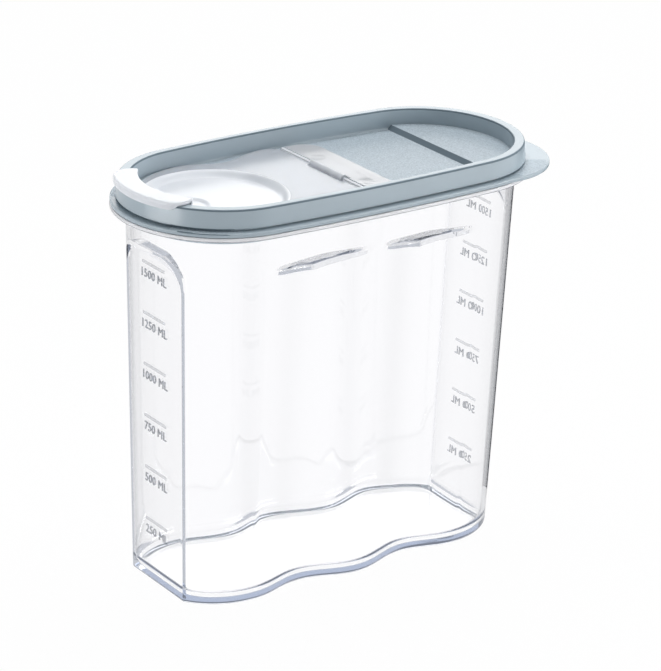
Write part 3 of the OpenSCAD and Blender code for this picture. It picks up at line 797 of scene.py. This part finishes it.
cover = {
    "bottom": 173.6, "top": 174.9, "edgeRound": 0.35,
    "bellX": -49.9, "bellRadius": 37.63, "waistX": -31.0, "waistHalf": 32.33,
    "shoulderX": -7.5, "shoulderHalf": 38.23, "shoulderRound": 9.6, "hingeX": 1.6, "hingeZ": 174.533,
    "notchHalf": 12.1, "notchFlare": 0.8, "notchX": -0.98, "endX": 1.05,
    "dishX": -56.0, "dishOut": 31.6, "dishWall": 30.4, "dishDepth": 2.5, "dishRound": 3.2,
    "dishLip": 0.9, "dishSheet": 1.3, "dishFoot": 1.5,
    "dimpleX": -71.2, "dimpleRadius": 11.3, "dimpleDepth": 0.9, "dimpleSoft": 2.2,
    "rodRadius": 1.1, "rodHalf": 35.4,
}


def coverOutline():
    # half outline from the pouring end to the notch, then mirrored; seen from above, anticlockwise from +X
    c = cover
    half = []
    for i in range(61):
        a = math.radians(mix(180, 90, i / 60))
        half.append((c["bellX"] + c["bellRadius"] * math.cos(a), c["bellRadius"] * math.sin(a)))
    for i in range(1, 31):
        x = mix(c["bellX"], c["waistX"], i / 30)
        half.append((x, mix(c["waistHalf"], c["bellRadius"], (1 + math.cos(math.pi * i / 30)) / 2)))
    for i in range(1, 31):
        x = mix(c["waistX"], c["shoulderX"], i / 30)
        half.append((x, mix(c["shoulderHalf"], c["waistHalf"], (1 + math.cos(math.pi * i / 30)) / 2)))
    last = math.acos((c["endX"] - c["shoulderX"]) / c["shoulderRound"])
    for i in range(1, 13):
        a = mix(math.pi / 2, last, i / 12)
        half.append((c["shoulderX"] + c["shoulderRound"] * math.cos(a),
                     c["shoulderHalf"] - c["shoulderRound"] + c["shoulderRound"] * math.sin(a)))
    shoulderEnd = half[-1][1]
    for i in range(1, 13):
        half.append((c["endX"], mix(shoulderEnd, c["notchHalf"] + c["notchFlare"], i / 12)))
    for i in range(1, 4):
        half.append((mix(c["endX"], c["notchX"], i / 3), c["notchHalf"] + c["notchFlare"] * (1 - i / 3)))
    for i in range(1, 7):
        half.append((c["notchX"], c["notchHalf"] * (1 - i / 6)))
    return half[::-1] + [(x, -y) for x, y in half[1:-1]]


def insetOutline(ring, gap):
    # moves each point inwards by gap, along the mean of its edges' normals
    n = len(ring)
    moved = []
    for i in range(n):
        (ax, ay), (bx, by), (cx, cy) = ring[i - 1], ring[i], ring[(i + 1) % n]
        n1 = Vector((by - ay, ax - bx)).normalized()
        n2 = Vector((cy - by, bx - cx)).normalized()
        m = n1 + n2
        m = m.normalized() if m.length > 1e-6 else n1
        reach = gap / max(0.5, m.dot(n1))
        moved.append((bx - m.x * reach, by - m.y * reach))
    return moved


def dishFloor(x, y, under):
    # height of the dish's floor with its finger dimple, or of a skin that lies under it
    c = cover
    r = math.hypot(x - c["dimpleX"], y)
    dip = 1 - smooth(c["dimpleRadius"] - c["dimpleSoft"], c["dimpleRadius"], r)
    return c["top"] - c["dishDepth"] - under - c["dimpleDepth"] * dip


def makeCoverPlate():
    # one closed skin: dish floor, dish wall, face, edge, underside and the dish's outside
    c = cover
    outline = coverOutline()
    angles = [math.atan2(y, x - c["dishX"]) for x, y in outline]
    middle = len(angles) // 2  # the ring starts at the hinge side; its angles only ever grow
    for i in range(1, middle):
        angles[i] = max(angles[i], angles[i - 1] + 0.0004)
    for i in range(1, middle):
        angles[-i] = -angles[i]
    rings = []

    def circle(r, z):
        return [(c["dishX"] + r * math.cos(a), r * math.sin(a), z) for a in angles]

    def floorCircle(r, under):
        points = [(c["dishX"] + r * math.cos(a), r * math.sin(a)) for a in angles]
        return [(x, y, dishFloor(x, y, under)) for x, y in points]

    floorEdge, lipEdge = c["dishWall"] - c["dishRound"], c["dishWall"] + c["dishLip"]
    steps = 64
    rings += [floorCircle(mix(0.3, floorEdge, i / steps), 0.0) for i in range(steps + 1)]
    low = c["top"] - c["dishDepth"]
    for i in range(1, 11):
        rings.append(circle(mix(floorEdge, lipEdge, i / 10), low + c["dishDepth"] * smooth(0, 1, i / 10)))
    soft = c["edgeRound"]
    start = rings[-1]
    inset = insetOutline(outline, soft + 0.25)
    for t in (0.06, 0.3, 0.6, 0.85):
        rings.append([(mix(p[0], q[0], t), mix(p[1], q[1], t), c["top"]) for p, q in zip(start, inset)])
    rings.append([(x, y, c["top"]) for x, y in inset])
    edge = arc(-soft, c["top"] - soft, soft, 90, 0, 3) + arc(-soft, c["bottom"] + soft, soft, 0, -90, 3)
    for out, z in edge:
        rings.append([(x, y, z) for x, y in insetOutline(outline, -out)])
    rings.append([(x, y, c["bottom"]) for x, y in insetOutline(outline, soft + 0.4)])
    rings.append(circle(c["dishOut"], c["bottom"]))
    under, foot = low - c["dishSheet"], c["dishFoot"]
    rings += [circle(r, z) for r, z in arc(c["dishOut"] - foot, under + foot, foot, 0, -90, 5)]
    radii = (c["dishOut"] - 2.5, 26.0, 22.0, 18.0, 14.0, 10.0, 5.0, 0.3)
    rings += [floorCircle(r, c["dishSheet"]) for r in radii]
    points, faces = loft(rings)
    return newObject("flip_cover", points, faces)


thumbLip = {
    "centreX": -54.5, "webIn": 33.53, "webOut": 34.93, "cove": 2.4, "under": 182.7, "top": 184.1,
    "noseOut": 44.03, "noseIn": 42.63, "noseBottom": 180.8, "noseAngle": 26.5, "corner": 8.2,
    "cornerRadius": 40.0, "backRound": 1.0, "noseRound": 1.2, "webRound": 0.8, "sunk": 0.7,
    "milkyBeyond": 45,
}


def makeThumbLip():
    # an upright web on the cover and a nose over the lid's rim, with rounded corners at both sides
    p = thumbLip
    endAngle = p["noseAngle"] + math.degrees(p["corner"] / p["cornerRadius"])
    angles = [mix(-p["noseAngle"], p["noseAngle"], i / 40) for i in range(41)]
    side = [p["noseAngle"] + (endAngle - p["noseAngle"]) * math.sin(math.radians(t)) for t in range(9, 91, 9)]
    angles = [-a for a in side[::-1]] + angles + side
    rings = []
    for angle in angles:
        over = max(0.0, math.radians(abs(angle) - p["noseAngle"]) * p["cornerRadius"])
        out = p["noseOut"] - p["corner"] + math.sqrt(max(0.0, p["corner"] ** 2 - over ** 2))
        drop = mix(p["under"], p["noseBottom"], smooth(p["noseIn"] - 0.5, p["noseOut"] - 0.2, out))
        inside = min(out - 1.4, p["noseIn"])
        section = [(p["webIn"] - p["cove"], cover["top"] - p["sunk"])]
        section += arc(p["webIn"] - p["cove"], cover["top"] + p["cove"], p["cove"], -90, 0, 6)
        r = p["backRound"]
        section += arc(p["webIn"] + r, p["top"] - r, r, 180, 90, 5)
        section += [(mix(p["webIn"] + r, out - p["noseRound"], 0.5), p["top"])]
        r = p["noseRound"]
        section += arc(out - r, p["top"] - r, r, 90, 0, 6)
        section += [(out, drop + 0.35), (out - 0.15, drop + 0.1), (out - 0.4, drop), (out - 1.0, drop)]
        section += [(out - 1.25, drop + 0.1), (inside, drop + 0.35), (inside, p["under"] - 0.05)]
        section += [(inside - 0.2, p["under"]), (max(inside - 0.4, p["webOut"] + 0.9), p["under"])]
        r = p["webRound"]
        section += arc(p["webOut"] + r, p["under"] - r, r, 90, 180, 4)
        section += [(p["webOut"], cover["top"] - p["sunk"])]
        a = math.radians(180 + angle)
        rings.append([(p["centreX"] + q * math.cos(a), q * math.sin(a), z) for q, z in section])
    points, faces = loft(rings)
    return newObject("lip", points, faces)


def makeRod():
    # a rod along Y with round ends
    c = cover
    end = [(r, -y) for r, y in arc(0, c["rodHalf"] - c["rodRadius"], c["rodRadius"], 90, 0, 6)][1:]
    section = [(0.01, -c["rodHalf"])] + end + [(r, -y) for r, y in end[::-1]] + [(0.01, c["rodHalf"])]
    rings = [[(x, y, z) for x, z in roundPoints(c["hingeX"], c["hingeZ"], r, 24)] for r, y in section]
    points, faces = loft(rings)
    return newObject("rod", points, faces)


coverPiece = makeCoverPlate()
combine(coverPiece, [makeThumbLip(), makeRod()], "UNION")
cleanMesh(coverPiece)
shadeSmooth(coverPiece, 40)
finishPiece(coverPiece, "cover", naturalPolypropylene, ["flip_cover"])
coverPiece.data.materials.append(thickAndLitPolypropylene)
for face in coverPiece.data.polygons:  # the dish, the edges and the lip are whiter: the lip for its thick plastic, the dish and the edges a painted light for light coming through from below and along the edges
    x, y, z = face.center / mm
    onDish = math.hypot(x - cover["dishX"], y) < cover["dishWall"] + cover["dishLip"]
    onEdge = cover["bottom"] < z < cover["top"] and abs(face.normal.z) < 0.97
    onLip = x < -thumbLip["webIn"] - thumbLip["milkyBeyond"] or z > cover["top"] + 0.4
    if onDish or onEdge or onLip:
        face.material_index = 1
print("flip cover made", len(coverPiece.data.polygons))


plate = {
    "near": 4.0, "far": 18.0, "half": 36.53, "corner": 9.5, "bottom": 173.4, "top": 174.9, "edgeRound": 0.35,
    "cupX": 8.4, "cupY": 18.0, "cupFloor": 3.4, "cupRadius": 4.3, "cupSlope": 1.9, "cupDepth": 0.35,
    "clipHalf": 11.7, "clipRadius": 2.18, "clipSlope": 4.6, "boreRadius": 1.18, "borePast": 2,
}


def plateOutline():
    p = plate
    ring = [(p["near"], -p["half"])]
    ring += [(mix(p["near"], p["far"] - p["corner"], i / 4), -p["half"]) for i in range(1, 4)]
    ring += arc(p["far"] - p["corner"], -p["half"] + p["corner"], p["corner"], -90, 0, 16)
    ring += arc(p["far"] - p["corner"], p["half"] - p["corner"], p["corner"], 0, 90, 16)
    ring += [(mix(p["far"] - p["corner"], p["near"], i / 4), p["half"]) for i in range(1, 5)]
    return ring


def makePlate():
    p = plate
    outline = plateOutline()
    soft = p["edgeRound"]
    rings = [[(x, y, p["bottom"]) for x, y in insetOutline(outline, 0.1)]]
    rings.append([(x, y, p["top"] - soft) for x, y in outline])
    for out, z in arc(-soft, p["top"] - soft, soft, 0, 90, 3)[1:]:
        rings.append([(x, y, z) for x, y in insetOutline(outline, -out)])
    points, faces = loft(rings)
    piece = newObject("hinge_plate", points, faces)
    cups = []
    for s in (-1, 1):  # shallow ring round each snap peg
        rings = []
        for r, z in ((p["cupFloor"], p["top"] - p["cupDepth"]), (p["cupRadius"], p["top"]),
                     (p["cupRadius"] + p["cupSlope"], p["top"] + p["cupDepth"])):
            turns = [math.radians(t * 5) for t in range(72)]
            rings.append([(p["cupX"] + r * math.cos(a), s * p["cupY"] + r * math.sin(a), z) for a in turns])
        points, faces = loft(rings)
        cups.append(newObject("cup", points, faces))
    combine(piece, cups, "DIFFERENCE")
    return piece


def makeClip():
    # the block that holds the rod: round over the rod, sloping down to the plate
    p, c = plate, cover
    x, z, r = c["hingeX"], c["hingeZ"], p["clipRadius"]
    far = x + p["clipSlope"]
    section = arc(x, z, r, 210, 30, 16) + [(far, p["top"] - 0.2), (far, p["bottom"] + 0.2)]
    section += [(x + 1.6, p["bottom"] + 0.1), (x - 1.4, p["bottom"] + 0.1)]
    rings = []
    half = p["clipHalf"]
    for y, shrink in ((-half, 0.25), (-half + 0.1, 0.08), (-half + 0.3, 0.0),
                      (half - 0.3, 0.0), (half - 0.1, 0.08), (half, 0.25)):
        centre = (x + 0.6, z)
        ring = []
        for px, pz in section:
            d = Vector((px - centre[0], pz - centre[1]))
            k = 1 - shrink / d.length
            ring.append((centre[0] + d.x * k, y, centre[1] + d.y * k))
        rings.append(ring)
    points, faces = loft(rings)
    clip = newObject("clip", points, faces)
    bore = [[(u, y, v) for u, v in roundPoints(x, z, p["boreRadius"], 32)]
            for y in (-half - p["borePast"], half + p["borePast"])]
    points, faces = loft(bore)
    return combine(clip, [newObject("bore", points, faces)], "DIFFERENCE")


platePiece = makePlate()
combine(platePiece, [makeClip()], "UNION")
cleanMesh(platePiece)
shadeSmooth(platePiece, 35)
finishPiece(platePiece, "lid", platePolypropylene, ["hinge_plate"])
platePiece.data.materials.append(thickAndLitPolypropylene)
for face in platePiece.data.polygons:  # the plate's edges are whiter, a painted highlight
    if plate["bottom"] < face.center.z / mm < plate["top"] and abs(face.normal.z) < 0.9:
        face.material_index = 1
print("hinge plate made", len(platePiece.data.polygons))


camera = {
    "azimuth": -36.089, "elevation": 21.972, "roll": 2.030, "distance": 1378.03,
    "right": 4.708, "up": 90.965, "lift": 1.8, "lens": 165.42, "sensor": 36,
}


def makeCamera():
    # looks at the part from azimuth and elevation; right, up and lift move it without turning it
    a, e, r = (math.radians(camera[k]) for k in ("azimuth", "elevation", "roll"))
    back = Vector((math.sin(a) * math.cos(e), -math.cos(a) * math.cos(e), math.sin(e)))
    right = Vector((math.cos(a), math.sin(a), 0))
    up = back.cross(right)
    place = (back * camera["distance"] + right * camera["right"] + up * camera["up"]
             + Vector((0, 0, camera["lift"]))) * mm
    turnedRight = right * math.cos(r) + up * math.sin(r)
    turnedUp = up * math.cos(r) - right * math.sin(r)
    data = bpy.data.cameras.new("camera")
    data.lens = camera["lens"]
    data.sensor_width = camera["sensor"]
    data.clip_start, data.clip_end = 0.05, 50
    obj = bpy.data.objects.new("camera", data)
    bpy.context.scene.collection.objects.link(obj)
    rotation = Matrix((turnedRight, turnedUp, back)).transposed().to_4x4()
    obj.matrix_world = Matrix.Translation(place) @ rotation
    bpy.context.scene.camera = obj


studio = {
    "floor": "#F2F2F4", "floorHalf": 3.0, "floorGap": 0.4, "seen": 0.97,
    "sky": "#EEF1F6", "skyStrength": 0.26, "ceiling": "#8D97A0", "ceilingFrom": 0.55, "ceilingFull": 0.8,
}
velvetCard = {
    "colour": "#1E2228", "x": 86.0, "y": -24.0, "near": 30.0, "far": 1300.0, "turn": 49, "lift": 0.5,
}
# place, aim and size in metres, power in watts
softboxes = {
    "top softbox": ((0.2, 0.15, 1.3), (0, 0, 0.15), (1.1, 1.1), 12),
    "back softbox": ((0.8, 1.1, 0.65), (0, 0, 0.17), (1.4, 0.5), 3.5),
    "left softbox": ((-1.25, 0.1, 0.12), (0, 0, 0.15), (0.9, 0.24), 6),
    "right softbox": ((0.9, -0.9, 0.3), (0.03, 0, 0.15), (1.0, 0.2), 9),
}


def seenRays(tree):
    # 1 for what the camera, a reflection or a clear plastic looks at, 0 for light that falls on a surface
    ray = addNode(tree, "ShaderNodeLightPath")
    seen = addNode(tree, "ShaderNodeMath", {"operation": "MAXIMUM"}, i0=ray.outputs["Is Camera Ray"],
                   i1=ray.outputs["Is Transmission Ray"])
    return addNode(tree, "ShaderNodeMath", {"operation": "MAXIMUM"}, i0=seen.outputs[0],
                   i1=ray.outputs["Is Glossy Ray"]).outputs[0]


def makeFloor():
    # white paper: it glows for what looks at it, and is matt for the light, so a faint shadow stays
    half, low = studio["floorHalf"], -studio["floorGap"] * mm
    corners = [(-half, -half, low), (half, -half, low), (half, half, low), (-half, half, low)]
    mesh = bpy.data.meshes.new("floor")
    mesh.from_pydata(corners, [], [(0, 1, 2, 3)])
    floor = bpy.data.objects.new("floor", mesh)
    bpy.context.scene.collection.objects.link(floor)
    material, tree = newMaterial("white paper")
    matt = addNode(tree, "ShaderNodeBsdfDiffuse", Color=srgb(studio["floor"]))
    glow = addNode(tree, "ShaderNodeEmission", Color=(1, 1, 1, 1), Strength=1.0)
    share = addNode(tree, "ShaderNodeMath", {"operation": "MULTIPLY"}, i0=seenRays(tree), i1=studio["seen"])
    blend = addNode(tree, "ShaderNodeMixShader", i0=share.outputs[0], i1=matt.outputs[0], i2=glow.outputs[0])
    addNode(tree, "ShaderNodeOutputMaterial", Surface=blend.outputs[0])
    mesh.materials.append(material)


def addDarkCard():
    # black velvet beside the right end: only reflections find it, and it draws the clear edges darker
    v, steps = velvetCard, 7
    points = []
    for reach in (v["near"], v["far"]):
        points += arc(v["x"], v["y"], reach, 0, v["turn"], steps)
    faces = [(i, i + steps + 1, i + steps + 2, i + 1) for i in range(steps)]
    mesh = bpy.data.meshes.new("velvet card")
    mesh.from_pydata([(x * mm, y * mm, v["lift"] * mm) for x, y in points], [], faces)
    card = bpy.data.objects.new("velvet card", mesh)
    bpy.context.scene.collection.objects.link(card)
    material, tree = newMaterial("black velvet")
    pile = addNode(tree, "ShaderNodeBsdfDiffuse", Color=srgb(v["colour"]))
    addNode(tree, "ShaderNodeOutputMaterial", Surface=pile.outputs[0])
    mesh.materials.append(material)
    card.visible_camera = card.visible_diffuse = card.visible_transmission = card.visible_shadow = False


def addLamp(name, place, aim, size, power):
    data = bpy.data.lights.new(name, "AREA")
    data.shape = "RECTANGLE"
    data.size, data.size_y = size
    data.energy = power
    obj = bpy.data.objects.new(name, data)
    obj.visible_camera = False
    bpy.context.scene.collection.objects.link(obj)
    obj.matrix_world = (Matrix.Translation(place)
                        @ (Vector(place) - Vector(aim)).to_track_quat("Z", "Y").to_matrix().to_4x4())


def makeWorld():
    # soft sky for the light; what looks at it finds a white room with a grey ceiling
    world = bpy.data.worlds.new("studio")
    world.use_nodes = True
    tree = world.node_tree
    tree.nodes.clear()
    place = addNode(tree, "ShaderNodeTexCoord")
    height = addNode(tree, "ShaderNodeSeparateXYZ", Vector=place.outputs["Generated"])
    rise = addNode(tree, "ShaderNodeMapRange", {"interpolation_type": "SMOOTHSTEP"},
                   Value=height.outputs["Z"], From_Min=studio["ceilingFrom"], From_Max=studio["ceilingFull"])
    room = addNode(tree, "ShaderNodeMix", {"data_type": "RGBA"}, i0=rise.outputs[0], i6=(1, 1, 1, 1),
                   i7=srgb(studio["ceiling"]))
    soft = addNode(tree, "ShaderNodeBackground", Color=srgb(studio["sky"]), Strength=studio["skyStrength"])
    seen = addNode(tree, "ShaderNodeBackground", Color=room.outputs[2], Strength=1.0)
    blend = addNode(tree, "ShaderNodeMixShader", i0=seenRays(tree), i1=soft.outputs[0], i2=seen.outputs[0])
    addNode(tree, "ShaderNodeOutputWorld", Surface=blend.outputs[0])
    bpy.context.scene.world = world


makeCamera()
makeFloor()
makeWorld()
addDarkCard()
for name, (place, aim, size, power) in softboxes.items():
    addLamp(name, place, aim, size, power)
bpy.context.scene.view_settings.view_transform = "Standard"
print("studio made")
